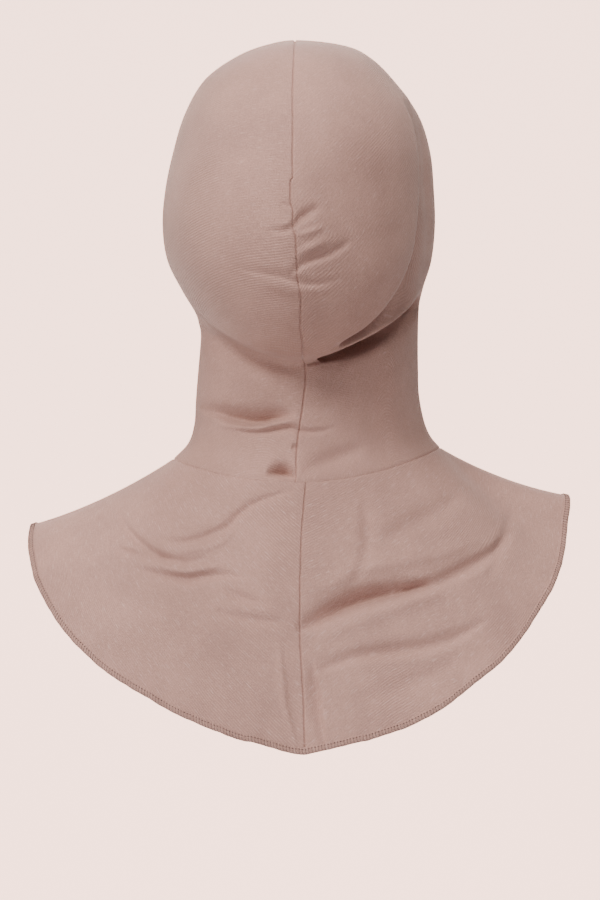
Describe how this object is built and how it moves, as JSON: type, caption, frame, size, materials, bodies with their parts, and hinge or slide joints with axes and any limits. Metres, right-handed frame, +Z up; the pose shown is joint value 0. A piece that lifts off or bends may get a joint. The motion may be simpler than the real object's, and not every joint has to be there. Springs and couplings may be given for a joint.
{
  "type": "hijab underscarf cap",
  "caption": "Full-cover jersey underscarf in its worn form: a close hood of two panels round head and neck, with a face opening and a short cape with an overlocked edge.",
  "frame": {"origin": "the inside of the crown, in the middle, where the cap sits on the head", "axes": "+Z up, the face opening faces -Y, +X is the wearer's left"},
  "size_m": [0.3108, 0.2276, 0.4038],
  "materials": {
    "jersey": "fine taupe rib jersey with a soft sheen",
    "face_hem": "turned and stitched jersey",
    "cape_hem": "overlocked edge, a little darker"
  },
  "bodies": {
    "root": {"hood_left": "jersey", "hood_right": "jersey", "cape_left": "jersey", "cape_right": "jersey", "face_hem": "face_hem", "cape_hem": "cape_hem"}
  },
  "joints": []
}
